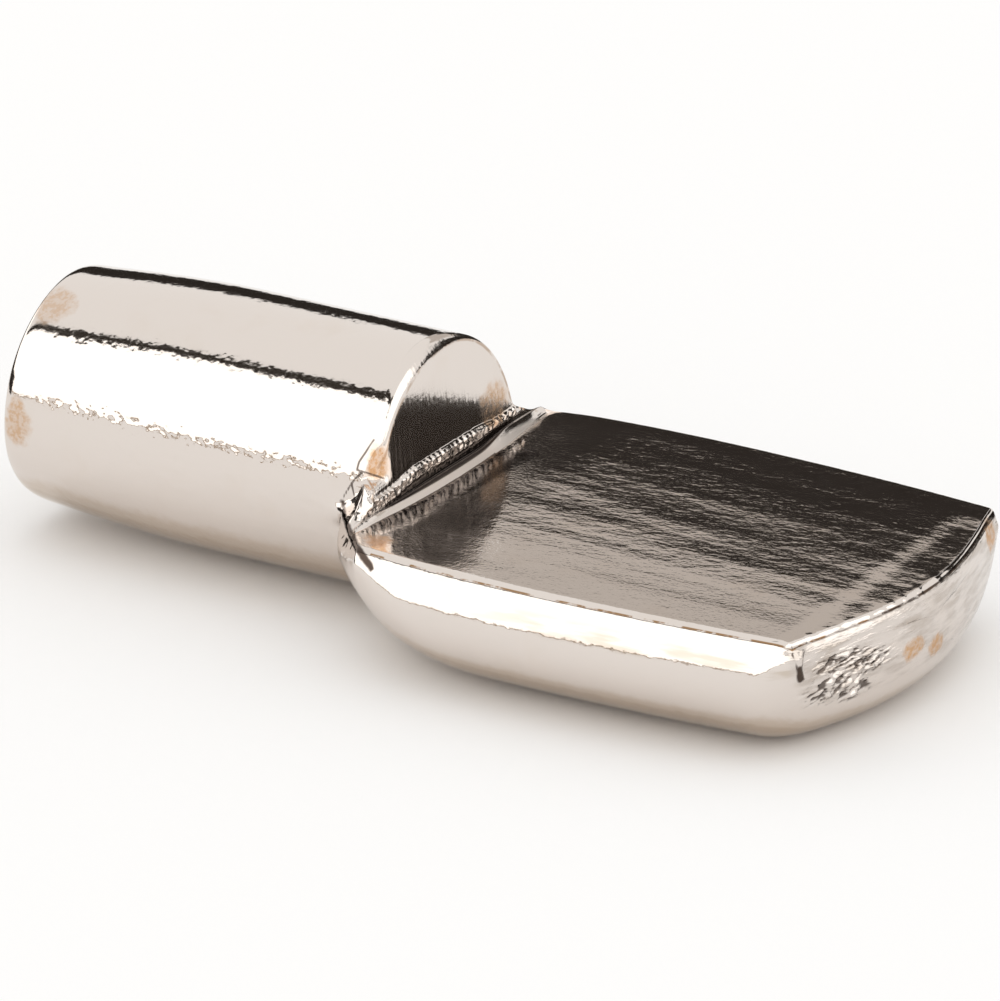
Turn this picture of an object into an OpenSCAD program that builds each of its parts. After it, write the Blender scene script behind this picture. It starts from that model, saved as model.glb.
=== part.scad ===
// Shelf support pin, spoon pattern.
//
// One piece of steel wire, cold formed and then nickel plated. The wire is cropped to
// length and keeps its round form over the pin, which goes into a 5 mm hole in the side
// of a cabinet. Its other half is struck in a press: the punch drives a level seat and an
// upright shoulder into the wire, and the metal it moves flows down and sideways into a
// shallow die, so the blade comes out wider than the pin, with bulging sides, a flattened
// belly and two rounded lobes beside the shoulder.
//
// Frame: the pin's axis is X and the origin lies on it where the face of the panel comes,
// just behind the lobes. The blade runs to +X and the shelf bears on the seat from +Z.
// The modules draw with the shoulder at X = 0, and support_pin() moves the whole.

/* [Pin] */

// Diameter of the round pin, the size of the hole that it fits.
pin_d = 5; // [4.8:0.05:5.3]
// Length of the pin from the shoulder to its end.
pin_l = 8.4; // [7.5:0.05:10]
// Length of the lead at the end of the pin, over which it narrows towards its end.
lead_l = 3.6; // [2:0.1:4]
// How much the radius drops over the lead before the end is rounded.
lead_drop = 0.19; // [0.05:0.01:0.3]
// Length of the rounding at the end of the pin.
nose_l = 0.7; // [0.3:0.02:1]
// Depth of the rounding at the end of the pin, measured on the radius.
nose_drop = 0.2; // [0.05:0.01:0.4]
// Lean of the cropped end of the pin, its top a little short.
crop_lean = 3.4; // [0:0.1:4]

/* [Shoulder] */

// Distance from the face of the panel that the pin is pushed into to the shoulder.
shoulder_x = 1.1; // [1.05:0.05:1.2]
// Lean of the shoulder, its top away from the seat, so the punch draws out again.
shoulder_lean = 7.5; // [2:0.5:10]
// Radius that the pin's edge is rounded to round the shoulder.
shoulder_round = 0.2; // [0.1:0.02:0.3]
// Distance that the fillet at the foot of the shoulder reaches over the seat.
fillet_run = 0.2; // [0.1:0.01:0.3]
// Height of that fillet at the near side, where the punch has left hardly any.
fillet_near = 0.02; // [0.02:0.01:0.2]
// Height of that fillet at the far side.
fillet_far = 0.25; // [0.1:0.01:0.35]
// Half width of the shoulder's face at its near side, before its margin falls back.
margin_from = 1.9; // [1.7:0.05:2.1]
// Angle at which that margin falls back.
margin_turn = 32; // [20:1:45]
// Height over the seat at which that margin starts.
margin_rise = 0.66; // [0.5:0.02:0.8]

/* [Seat] */

// Height of the seat over the pin's axis, a little below it.
seat_z = -0.13; // [-0.3:0.01:0]
// Half width of the seat beside the shoulder.
seat_heel = 3.92; // [3.7:0.02:4.1]
// Half width of the seat where it is widest.
seat_half = 4.17; // [4:0.01:4.4]
// Half width of the seat at the end of the blade.
seat_tip = 3.78; // [3.4:0.02:3.9]
// Distance of the widest place from the shoulder.
seat_widest = 3.8; // [3:0.1:5]
// Length of the blade from the shoulder to the middle of its end.
blade_l = 10.33; // [9:0.01:12]
// How far the end of the blade falls back from its middle to its corners.
tip_sweep = 0.75; // [0.3:0.05:1]
// Width of the bevel that runs round the edge of the seat.
bevel_w = 0.13; // [0.08:0.01:0.2]
// Depth of that bevel at its outer edge.
bevel_d = 0.06; // [0.03:0.01:0.1]

/* [Blade] */

// Radius of the upper side of the blade, from its widest line up to the seat.
side_r = 1.17; // [1:0.01:1.4]
// Lean of the side where it reaches the edge of the seat, from upright.
side_lean = 46; // [35:1:55]
// Radius of the side just under its widest line.
flank_r = 1.25; // [1:0.05:1.5]
// Radius where the side turns under the blade.
turn_r = 1.95; // [1.6:0.05:2.4]
// Radius where the turn runs out into the belly.
bilge_r = 1.8; // [1.4:0.1:2.4]
// Share of the belly's width that is flat.
belly_flat = 0.5; // [0:0.05:0.8]
// How much deeper the belly lies at the end of the blade than at the shoulder.
belly_fall = 0.06; // [0:0.01:0.2]
// Rounding of the lower edge of the end.
tip_round = 1.35; // [0.6:0.05:1.4]
// Rounding of the upright edges of the end.
tip_side_round = 0.35; // [0.15:0.05:0.5]
// How far the sides draw in at the bottom of the end.
tip_corner = 0.9; // [0.3:0.05:1]
// How far the end bulges past the edge of the seat.
tip_bulge = 0.14; // [0.05:0.01:0.3]
// Depth under the seat at which it has bulged that far.
bulge_depth = 0.5; // [0.3:0.05:1]
// How square the end is in plan, from 0 for a plain arc.
tip_square = 0.42; // [0:0.02:0.5]

/* [Heel] */

// Distance behind the shoulder at which the top of the lobes leaves the pin.
lobe_back = 0.8; // [0.6:0.05:1]
// Distance before the shoulder at which the seat has its full width.
lobe_front = 0.85; // [0.6:0.05:1.2]
// Slope of the lobes' upper side, falling away from the pin.
lobe_slope = 27; // [20:1:35]
// Distance behind the shoulder at which the belly leaves the pin.
belly_back = 0.1; // [0.05:0.05:0.6]
// Distance before the shoulder at which the belly has its full width.
belly_front = 3.6; // [2.4:0.1:4]

/* [Hidden] */

$fn = 96;
nickel = [0.88, 0.84, 0.82];

// Normal angles, from level, at which one radius of the blade's side hands over to the next.
flank_to = -41;
turn_to = -64;
bilge_to = -84;
// Normal angle from which the section's points lay close under the seat on the round wire.
lobe_from = -20;
// Steps along each of those arcs, along half of the belly, over the top of the round wire
// and over each rounding.
arc_steps = 5;
belly_steps = 4;
wire_steps = 18;
round_steps = 6;
// Steps along the lead, the lobes, the rest of the heel and the straight of the blade, and
// the power by which they crowd together where the shape turns fastest.
lead_steps = 4;
lobe_steps = 6;
heel_steps = 7;
body_steps = 6;
crowding = 1.5;
// Distance before the end of the blade at which its rounding starts, and the shares of the
// end's size at which its face has stations.
tip_start = 1;
face_shares = [0.85, 0.6, 0.3, 0.1];
// Least turn from the foot of a lobe's ramp to its head, and what is left of the wire's
// crown over the blade.
ramp_least = 2;
crown_least = 0.1;
// Where the struck half comes out of the wall of the pin, and how the two are lapped: it
// starts sunk in the pin, comes out a hair proud, and the pin ends inside it.
wall_x = -0.9;
pin_end = -0.65;
lap = 0.4;
lap_sink = 0.06;
lap_proud = 0.02;
// How far the fillet at the foot of the shoulder reaches under the seat.
allowance = 0.01;
// Distance by which the punch reaches past the wire.
over = 1;

pin_r = pin_d / 2;
wire_r = pin_r + lap_proud;

// ---- numbers ----

// A value that goes from a to b as t goes from 0 to 1.
function mix(a, b, t) = a + (b - a) * t;
// t held between 0 and 1.
function held(t) = min(max(t, 0), 1);
// Growth from 0 to 1 along a quarter of an ellipse, quick at first.
function swell(t) = sqrt(1 - pow(1 - held(t), 2));
// Values from a, which is left out, to b in n even steps.
function spread(a, b, n) = [for (i = [1:n]) mix(a, b, i / n)];

// ---- section of the blade ----

side_angles = concat(
    spread(bilge_to, turn_to, arc_steps), spread(turn_to, flank_to, arc_steps),
    spread(flank_to, 0, arc_steps), spread(0, side_lean, arc_steps));

// Radius of the arc that ends at normal angle a.
function radius_to(a) =
    a > 0 ? side_r : a > flank_to ? flank_r : a > turn_to ? turn_r : bilge_r;

// The side of the blade as a chain of arcs that starts at p, where the bilge ends.
function side_chain(i = 0, p = [0, 0], a = bilge_to) =
    i == len(side_angles) ? [p] :
    let (b = side_angles[i], r = radius_to(b))
        concat([p], side_chain(i + 1, p + r * [cos(b) - cos(a), sin(b) - sin(a)], b));

chain = side_chain();
chain_end = chain[len(chain) - 1];

// Half of the struck section, from the middle of the belly up to the edge of the seat at
// half width w, where the bevel ends.
function struck_half(w) =
    let (
        side = [for (p = chain) p + [w, seat_z - bevel_d] - chain_end],
        foot = side[0],
        sag = foot[0] * tan(90 + bilge_to) * (1 - belly_flat) / 2
    )
    concat(
        [for (i = [0:belly_steps - 1])
            let (t = i / belly_steps, off = max(t - belly_flat, 0) / (1 - belly_flat))
            [foot[0] * t, foot[1] - sag * (1 - off * off)]],
        side,
        [[w - bevel_w, seat_z]]);

// The normal angles at those points.
bevel_lean = atan2(bevel_w, bevel_d);
struck_angles = concat([-90], spread(-90, bilge_to, belly_steps), side_angles, [bevel_lean]);

// Angle round the wire at which the metal of the section's point with normal angle a lay.
function wire_angle(a) = a < lobe_from ? a :
    mix(lobe_from, asin(seat_z / wire_r), (a - lobe_from) / (bevel_lean - lobe_from));

// ---- plan of the blade ----

// Half width of the seat at distance x from the shoulder.
function seat_w(x) = x < seat_widest
    ? mix(seat_half, seat_heel, pow((seat_widest - x) / seat_widest, 2))
    : mix(seat_half, seat_tip, pow((x - seat_widest) / (blade_l - seat_widest), 2));

// Position of the end of the blade at half width u and height z.
function tip_x(u, z) =
    let (q = pow(u / seat_tip, 2))
        blade_l - tip_sweep * q * (1 + tip_square * (1 - q))
            + tip_bulge * sin(90 * held((seat_z - z) / bulge_depth));

// Struck half section at x, with its belly drawn deeper or less deep below the seat.
function half_at(x) =
    let (half = struck_half(seat_w(x)), low = half[0][1], fall = belly_fall * (x / blade_l - 0.5))
        [for (p = half) [p[0], p[1] - fall * held((seat_z - p[1]) / (seat_z - low))]];

// The same half while the wire still swells into it: the lobes beside the shoulder swell
// first and the belly last.
function swelling_half(x) =
    let (half = half_at(max(x, 0)), low = half[0][1])
    [for (i = [0:len(half) - 1])
        let (
            a = wire_angle(struck_angles[i]),
            wire = wire_r * [cos(a), sin(a)],
            level = held((half[i][1] - low) / (seat_z - low)),
            from = -mix(belly_back, lobe_back, level),
            to = mix(belly_front, lobe_front, level)
        )
        mix(wire, half[i], swell((x - from) / (to - from)))];

// ---- stations, each a ring of points in space ----

// Radius of the wire at x, rounded off towards the shoulder.
function rounded_r(x) =
    let (t = held(1 + x / shoulder_round)) wire_r - shoulder_round * (1 - sqrt(1 - t * t));

// Angle round a wire of radius r at which the ramp of a lobe, climbing from p, meets it.
function ramp_angle(p, r) =
    let (off = p[0] * sin(lobe_slope) + p[1] * cos(lobe_slope))
        max(asin(min(off / r, 1)) - lobe_slope, atan2(p[1], p[0]) + ramp_least);

// Top of a wire of radius r, from where the ramp that climbs from p meets it to its crest.
function wire_top(p, r) =
    let (a = ramp_angle(p, r))
        [for (b = concat([a], spread(a, 90, wire_steps))) r * [cos(b), sin(b)]];

// Closes a half station into a ring by mirroring it over the middle plane.
function ring(half) =
    concat(half, [for (i = [len(half) - 2:-1:1]) [half[i][0], -half[i][1], half[i][2]]]);

// Station at x: the half section and the top of the wire over it, which leans back like
// the shoulder and dies away along the blade, where the punch takes it off.
function station(half, x) =
    let (
        lean = tan(shoulder_lean) * held(1 - x / wall_x),
        crown = mix(1, crown_least, held(x / belly_front))
    )
    ring(concat(
        [for (p = half) [x, p[0], p[1]]],
        [for (p = wire_top(half[len(half) - 1], rounded_r(x)))
            [x - lean * p[1], p[0], mix(seat_z, p[1], crown)]]));

// Station in the lap, where the struck half is still the plain wire, sunk into the pin.
function lap_station(x, sink) =
    [for (p = station(swelling_half(wall_x), wall_x))
        [x, p[1], p[2]] - sink / wire_r * [0, p[1], p[2]]];

// Station on the rounding of the end, t from 0 at its start to 1 at the face.
function tip_station(t) =
    let (x = blade_l - tip_start, half = half_at(x), low = half[0][1], drop = 1 - cos(90 * t))
    [for (p = station(half, x))
        let (
            deep = held((seat_z - p[2]) / (seat_z - low)),
            u = p[1] * (1 - drop * mix(tip_side_round, tip_corner, deep) / seat_tip),
            z = p[2] + drop * mix(-bevel_d, tip_round, deep)
        )
        [tip_x(u, p[2]) - (1 - sin(90 * t)) * mix(tip_side_round, tip_round, deep), u, z]];

// Station on the face of the end, s from 1 at its edge towards 0 in its middle.
function face_station(s) =
    let (edge = tip_station(1), mid_z = mix(edge[0][2], seat_z, 0.5))
    [for (p = edge) let (u = p[1] * s, z = mix(mid_z, p[2], s)) [tip_x(u, z), u, z]];

// ---- solids ----

// Closed skin over rings of equal length. Its first and last ring are closed by a fan.
module skin(rings) {
    n = len(rings[0]);
    last = len(rings) - 1;
    function middle(r) = let (one = [for (p = r) 1]) one * r / len(r);
    polyhedron(
        points = concat([for (r = rings) each r], [middle(rings[0]), middle(rings[last])]),
        faces = concat(
            [for (j = [0:n - 1]) [j, (j + 1) % n, (last + 1) * n]],
            [for (i = [0:last - 1], j = [0:n - 1]) let (k = (j + 1) % n)
                each [[i * n + j, (i + 1) * n + j, i * n + k],
                      [i * n + k, (i + 1) * n + j, (i + 1) * n + k]]],
            [for (j = [0:n - 1]) [last * n + (j + 1) % n, last * n + j, (last + 1) * n + 1]]));
}

// The round pin, turned about X: cropped end, nose, lead and straight wall.
module pin() {
    long = pin_l + pin_r * tan(crop_lean);
    nose = [for (i = [0:round_steps]) let (a = 90 * i / round_steps)
        [pin_r - lead_drop - nose_drop * (1 - sin(a)), long - nose_l * (1 - cos(a))]];
    lead = [for (t = spread(1, 0, lead_steps))
        [pin_r - lead_drop * pow(t, crowding), mix(pin_l - lead_l, long - nose_l, t)]];
    difference() {
        rotate([0, -90, 0])
            rotate_extrude()
                polygon(concat([[0, long]], nose, lead, [[pin_r, -pin_end], [0, -pin_end]]));
        translate([-pin_l, 0, 0])
            rotate([0, crop_lean, 0])
                translate([-over / 2, 0, 0])
                    cube([over, 2 * pin_d, 2 * pin_d], center = true);
    }
}

// The struck half of the wire, before the punch cuts the seat and the shoulder into it.
module forging() {
    lobe_xs = [for (i = [0:lobe_steps - 1])
        mix(-lobe_back, -shoulder_round, pow(i / lobe_steps, crowding))];
    edge_xs = [for (i = [0:round_steps]) -shoulder_round * (1 - sin(90 * i / round_steps))];
    heel_xs = [for (i = [1:heel_steps]) belly_front * pow(i / heel_steps, crowding)];
    body_xs = spread(belly_front, blade_l - tip_round - tip_sweep, body_steps);
    skin(concat(
        [lap_station(wall_x - lap, lap_sink + lap_proud), lap_station(wall_x, 0)],
        [for (x = concat(lobe_xs, edge_xs, heel_xs)) station(swelling_half(x), x)],
        [for (x = body_xs) station(half_at(x), x)],
        [for (i = [0:round_steps]) tip_station(i / round_steps)],
        [for (s = face_shares) face_station(s)]));
}

// Metal that the worn edge of the punch leaves along the foot of the shoulder, higher at
// the far side than at the near one.
module fillet() {
    reach = seat_half + side_r;
    function profile(y, rise) = [
        [-fillet_run, y, seat_z - over], [-fillet_run, y, seat_z + rise], [0, y, seat_z + rise],
        [fillet_run, y, seat_z - allowance], [fillet_run, y, seat_z - over]];
    skin([profile(-reach, fillet_near), profile(reach, fillet_far)]);
}

// The punch: a prism whose lower side is the seat and whose back is the leaning shoulder.
module punch() {
    top = pin_r + over;
    lean = tan(shoulder_lean);
    difference() {
        rotate([90, 0, 0])
            linear_extrude(height = 2 * (seat_half + side_r) - over, center = true)
                polygon([[-top * lean, top], [-seat_z * lean, seat_z],
                    [blade_l + over, seat_z], [blade_l + over, top]]);
        fillet();
    }
}

// The near margin of the shoulder's face, which falls back over the lobe.
module margin() {
    far = pin_r + over;
    translate([0, 0, seat_z + margin_rise])
        linear_extrude(height = pin_r)
            polygon([[0, -margin_from], [-(far - margin_from) * tan(margin_turn), -far],
                [over, -far], [over, -margin_from]]);
}

// The whole pin, moved so that the face of the panel comes at X = 0.
module support_pin() {
    color(nickel)
        translate([shoulder_x, 0, 0])
            difference() {
                union() {
                    pin();
                    forging();
                }
                punch();
                margin();
            }
}

support_pin();
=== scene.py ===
# %% [markdown]
# # A spoon-pattern shelf support pin
#
# A shelf pin of this pattern is one short piece of steel wire. Half of it stays round and
# goes into a hole in the side of a cabinet. The other half is struck in a press, so that it
# spreads into a blade with a level seat on top, on which the shelf lies. The whole pin is
# then plated with nickel in a barrel.
#
# This lesson models its skin as one closed mesh, works the marks of the press and of the
# cutter into it, and gives it a worn nickel finish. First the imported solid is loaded. It is
# the frame in which everything is placed, in metres.

# %% The frame and its box
import math

import bpy
import numpy as np
from mathutils import Matrix, Vector, noise


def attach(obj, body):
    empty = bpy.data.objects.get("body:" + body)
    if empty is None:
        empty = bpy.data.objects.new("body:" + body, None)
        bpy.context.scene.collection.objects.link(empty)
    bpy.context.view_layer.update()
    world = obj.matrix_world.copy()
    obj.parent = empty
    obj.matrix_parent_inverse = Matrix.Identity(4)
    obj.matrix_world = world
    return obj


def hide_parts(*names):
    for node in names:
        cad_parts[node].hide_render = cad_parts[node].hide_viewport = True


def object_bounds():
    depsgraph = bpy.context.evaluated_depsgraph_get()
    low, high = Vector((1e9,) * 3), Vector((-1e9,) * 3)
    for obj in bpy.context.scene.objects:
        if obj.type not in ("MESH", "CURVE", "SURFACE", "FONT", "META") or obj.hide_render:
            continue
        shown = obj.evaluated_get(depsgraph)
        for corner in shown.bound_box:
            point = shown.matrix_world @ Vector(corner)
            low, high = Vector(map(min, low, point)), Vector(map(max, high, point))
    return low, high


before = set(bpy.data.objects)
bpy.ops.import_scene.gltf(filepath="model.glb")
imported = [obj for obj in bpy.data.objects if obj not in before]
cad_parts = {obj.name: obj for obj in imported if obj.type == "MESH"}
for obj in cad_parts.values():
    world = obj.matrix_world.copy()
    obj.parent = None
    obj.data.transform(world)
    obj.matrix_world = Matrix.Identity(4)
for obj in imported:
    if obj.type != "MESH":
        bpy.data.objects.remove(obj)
cad_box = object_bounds()
mm = 0.001
print("solid, in mm:", [[round(v / mm, 2) for v in corner] for corner in cad_box])

# %% [markdown]
# ## Sizes
#
# The skin has to lie where the solid lies, so its main sizes are the solid's, in
# millimetres, and each cell names the smaller ones that it needs. Places are measured from
# the shoulder, the upright face that the punch leaves between the round pin and the seat.
# The frame's origin is on the pin's axis where the panel's face comes, a little behind the
# shoulder, so the mesh is moved by that distance when its points are set.

# %% Main sizes
pin_r = 2.5
pin_l = 8.4  # from the shoulder to the cropped end
shoulder_x = 1.1  # from the panel's face to the shoulder
blade_l = 10.33  # from the shoulder to the sheared end
seat_z = -0.13  # height of the seat over the pin's axis
print("pin and blade, in mm:", pin_l, blade_l)

# %% [markdown]
# A few small functions carry most of the shape. `mix` goes from one value to another,
# `held` keeps a share between 0 and 1, `swell` starts quickly and then slows down, as metal
# does that flows into a die, and `smooth` eases at both ends. `ease` is 0 at its start and
# 1 at its end, whichever of the two is higher. They work on whole arrays.

# %% Helpers for shapes


def mix(a, b, t):
    return a + (b - a) * t


def held(t):
    return np.clip(t, 0, 1)


def swell(t):
    return np.sqrt(1 - (1 - held(t)) ** 2)


def smooth(t):
    t = held(t)
    return t * t * (3 - 2 * t)


def ease(value, start, end):
    return smooth((value - start) / (end - start))


def deg(a):
    return np.radians(a)


# %% [markdown]
# ## The section of the blade
#
# Cut across, the blade has a flattened belly, a side that bulges like the rim of a loaf,
# and the level seat with a narrow bevel at its edge. The side is a chain of four arcs that
# meet without a corner. It could be drawn by hand as a profile curve, but the formula keeps
# it the same as the solid's at every place along the blade.

# %% Arcs of the side
# Each arc is the lean of its normal at both ends in degrees, its radius and its steps.
arcs = [(-84, -64, 1.8, 3), (-64, -41, 1.95, 4), (-41, 0, 1.25, 7), (0, 46, 1.17, 8)]

leans = [arcs[0][0]]
side = [(0.0, 0.0)]
for low, high, radius, steps in arcs:
    for i in range(steps):
        a = mix(low, high, i / steps)
        b = mix(low, high, (i + 1) / steps)
        y, z = side[-1]
        side.append((y + radius * (math.cos(deg(b)) - math.cos(deg(a))),
                     z + radius * (math.sin(deg(b)) - math.sin(deg(a)))))
        leans.append(b)
side = np.array(side) - side[-1]
print("height of the side, in mm:", round(side[-1, 1] - side[0, 1], 2))

# %% Columns round the skin
belly_steps = 6
top_steps = 34  # from the seat's edge, or from the wire's side, to the middle of the top
bevel_w = 0.13
bevel_d = 0.06
row_share = 0.16  # where on the bevel an extra row of points keeps its edge crisp
row_turn = 0.2  # how much of the turn from the side to the bevel is done at that row

belly_share = np.arange(belly_steps) / belly_steps
bevel_lean = math.degrees(math.atan2(bevel_w, bevel_d))
section_leans = np.concatenate([mix(-90, leans[0], belly_share), leans,
                                [mix(leans[-1], bevel_lean, row_turn), bevel_lean]])
lower_n = len(section_leans)
half_n = lower_n + top_steps
columns = 2 * half_n - 2
print("columns round the skin:", columns)

# %% Half section of the struck blade
seat_heel = 3.92  # half width of the seat beside the shoulder
seat_half = 4.17  # half width where it is widest
seat_tip = 3.78  # half width at the sheared end
seat_widest = 3.8  # place of the widest part
belly_flat = 0.5  # share of the belly that is level
belly_fall = 0.06  # how much lower the belly is at the blade's end


def seat_w(x):
    """Half width of the seat at x from the shoulder."""
    heel = mix(seat_half, seat_heel, ((seat_widest - x) / seat_widest) ** 2)
    tip = mix(seat_half, seat_tip, ((x - seat_widest) / (blade_l - seat_widest)) ** 2)
    return heel if x < seat_widest else tip


def depth_share(z, lowest):
    """0 on the seat and 1 at the section's lowest point."""
    return held((seat_z - z) / (seat_z - lowest))


def struck(x):
    """The section's y and z at x, from the middle of the belly to the edge of the seat."""
    w = seat_w(max(x, 0))
    foot_y, foot_z = side[0] + [w, seat_z - bevel_d]
    sag = foot_y * math.tan(deg(90 + leans[0])) * (1 - belly_flat) / 2
    off = np.maximum(belly_share - belly_flat, 0) / (1 - belly_flat)
    y = np.concatenate([foot_y * belly_share, side[:, 0] + w,
                        [w - bevel_w * row_share, w - bevel_w]])
    z = np.concatenate([foot_z - sag * (1 - off**2), side[:, 1] + seat_z - bevel_d,
                        [seat_z - bevel_d * (1 - row_share), seat_z]])
    return y, z - belly_fall * (max(x, 0) / blade_l - 0.5) * depth_share(z, z[0])


print("widest, in mm:", round(2 * struck(seat_widest)[0].max(), 2))

# %% [markdown]
# ## From the round wire to the blade
#
# Beside the shoulder the metal bulges out in two lobes, and under it the belly follows more
# slowly. Each point of the blade's section is led back to the point of the round wire that
# it came from, and `swell` takes it from the one to the other. A bridge between two rings
# could do this too, but it would not let the lobes rise sooner than the belly.

# %% The wire's own section
lobe_from = -20  # lean, in degrees, above which the lobes gather the metal
seat_lean = math.degrees(math.asin(seat_z / pin_r))
wire_leans = np.where(section_leans < lobe_from, section_leans,
                      mix(lobe_from, seat_lean,
                          (section_leans - lobe_from) / (bevel_lean - lobe_from)))
wire_y = pin_r * np.cos(deg(wire_leans))
wire_z = pin_r * np.sin(deg(wire_leans))
print("points from the belly to the seat's edge:", len(wire_y))

# %% Swelling into the blade
lobe_back, lobe_front = 0.8, 0.85  # where the lobes start and end, from the shoulder
belly_back, belly_front = 0.1, 3.6  # where the belly starts and ends to change
pressed_run, pressed_power = 1.25, 0.8  # the near lobe's top was pressed and rises evenly
pressed_level = 0.75  # where its top begins, as a share of the section's height


def swelling(x, sign):
    """The half section at x while the wire still swells, on the near side for sign -1."""
    y, z = struck(x)
    level = held((z - z[0]) / (seat_z - z[0]))
    start = -mix(belly_back, lobe_back, level)
    end = mix(belly_front, lobe_front, level)
    t = swell((x - start) / (end - start))
    if sign < 0:
        pressed = held((x + lobe_back) / pressed_run) ** pressed_power
        t = mix(t, pressed, ease(level, pressed_level, 1))
    return mix(wire_y, y, t), mix(wire_z, z, t)


print("half width at the shoulder, in mm:", round(swelling(0, 1)[0].max(), 2))

# %% The top of the wire
slope_near, slope_far = 45, 27  # slopes of the two lobes' ramps, in degrees
least_bow = 1  # the ramp takes at least this much of the wire's arc, in degrees
top_share = np.arange(1, top_steps + 1) / top_steps
seat_share = np.arange(top_steps) / (top_steps - 1)


def crown(y0, z0, sign):
    """Top of the wire from (y0, z0): up the ramp of a lobe, then round to the crest."""
    slope = deg(slope_near if sign < 0 else slope_far)
    off = y0 * math.sin(slope) + z0 * math.cos(slope)
    meets = math.asin(min(off / pin_r, 1)) - slope
    meets = max(meets, math.atan2(z0, y0) + deg(least_bow))
    end_y = pin_r * math.cos(meets)
    end_z = pin_r * math.sin(meets)
    ramp = math.hypot(end_y - y0, end_z - z0)
    run = top_share * (ramp + pin_r * (math.pi / 2 - meets))
    on_ramp = held(run / ramp)
    angle = meets + np.maximum(run - ramp, 0) / pin_r
    y = np.where(run < ramp, mix(y0, end_y, on_ramp), pin_r * np.cos(angle))
    z = np.where(run < ramp, mix(z0, end_z, on_ramp), pin_r * np.sin(angle))
    return y, z


print("height of the crest, in mm:", round(crown(wire_y[-1], wire_z[-1], 1)[1].max(), 2))

# %% [markdown]
# ## Stations
#
# A hand would start from a ring and extrude it along the pin, station by station, and size
# each new ring to its section. The next cells write down those rings. Each runs from the
# middle of the belly up the near side, over the top and down the far side. The free end of
# the wire narrows a little, has a rounded edge and was cropped slightly out of square.

# %% Rings of the round pin


def around(near, far):
    """A ring from its near half and its far half, each from the belly to the top."""
    near = np.stack(near, axis=1)
    far = np.stack(far, axis=1)
    return np.concatenate([near * [1, -1, 1], far[-2:0:-1]])


def even(x, y, z):
    """A ring whose two halves are alike."""
    x = x + np.zeros(half_n)
    return around((x, y, z), (x, y, z))


def wire_ring(x, r):
    """Ring of the round wire at x with radius r."""
    halves = []
    for sign in (-1, 1):
        top_y, top_z = crown(wire_y[-1], wire_z[-1], sign)
        y = np.concatenate([wire_y, top_y])
        z = np.concatenate([wire_z, top_z])
        halves.append((np.full(half_n, x), y * r / pin_r, z * r / pin_r))
    return around(*halves)


print("points in a ring:", len(wire_ring(0, pin_r)))

# %% Rings of the cropped end
lead_l, lead_drop, lead_bow = 3.6, 0.19, 1.5  # the stretch that narrows: length, how much, how
nose_l, nose_drop = 0.7, 0.2  # the rounded edge
crop_lean = 3.4  # in degrees
lead_r = pin_r - lead_drop
full_l = pin_l + pin_r * math.tan(deg(crop_lean))


def cropped(z):
    """Place of the cropped end at height z."""
    return -pin_l + z * math.tan(deg(crop_lean))


def lead_ring(t):
    """Ring of the narrowing stretch, t from 0 where it starts to 1 at the nose."""
    return wire_ring(-mix(pin_l - lead_l, full_l - nose_l, t), pin_r - lead_drop * t**lead_bow)


def nose_ring(t):
    """Ring of the rounded edge, t from 0 at the end to 1 at the lead."""
    r = lead_r - nose_drop * (1 - math.sin(deg(90 * t)))
    ring = wire_ring(-full_l + nose_l * (1 - math.cos(deg(90 * t))), r)
    ring[:, 0] = np.maximum(ring[:, 0], cropped(ring[:, 2]))
    return ring


def end_ring(s):
    """Ring on the cropped end, s from 0 in its middle to 1 at its edge."""
    ring = nose_ring(0) * [1, s, s]
    ring[:, 0] = cropped(ring[:, 2])
    return ring


print("radius at the cropped end, in mm:", round(lead_r - nose_drop, 2))

# %% [markdown]
# ## The shoulder
#
# The shoulder is the hard part. From the rounded edge of the wire the skin goes down the
# face, over the bank that the worn punch leaves at its foot, and out on the seat. On the
# near side the face falls back in a small facet over the lobe. An inset and an extrusion
# would give a plain step. Rings that follow the flow of the metal give the lobes as well,
# and they keep the mesh in even columns for the fine marks that come later.

# %% Face of the shoulder
shoulder_lean, foot_lean = 6.2, 4.0  # leans of the face at its crest and at its foot
lean_from = 1.9  # height over which the lean grows


def behind_face(z):
    """Place of the shoulder's face at height z. It leans back, and more so at the crest."""
    high = np.maximum(z - lean_from, 0)
    rest = pin_r * (math.tan(deg(shoulder_lean)) - math.tan(deg(foot_lean)))
    return -z * math.tan(deg(foot_lean)) - rest * (high / (pin_r - lean_from)) ** 2


print("the crest lies back by, in mm:", round(-behind_face(pin_r), 2))

# %% Bank at the foot of the shoulder
bank_out, bank_bow = 0.31, 0.022  # its reach in the middle, and how much it bows back
bank_least, ledge_least = 0.06, 0.015  # the least reach of the bank and of its ledge
bank_to = 0.5  # where the skin has reached the level seat
ledge_z, ledge_far_z = -0.045, 0.07  # heights of its ledge on the near and the far side
slope_w, slope_far_w = 0.17, 0.2  # widths of the slope from the ledge down to the seat
ledge_share, slope_share = 0.25, 0.6  # shares of the way over the bank
bank_rises = (1.0, 2.2)  # from here to there, to the far side, the bank grows higher


def farness(y):
    """0 on the near side and 1 on the far side, where the bank is higher."""
    return ease(y, *bank_rises)


def ledge_end(y):
    """Where the bank's ledge ends and its slope begins, and where the slope ends."""
    low_x = np.maximum(bank_out - bank_bow * y**2, bank_least)
    return np.maximum(low_x - mix(slope_w, slope_far_w, farness(y)), ledge_least), low_x


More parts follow.
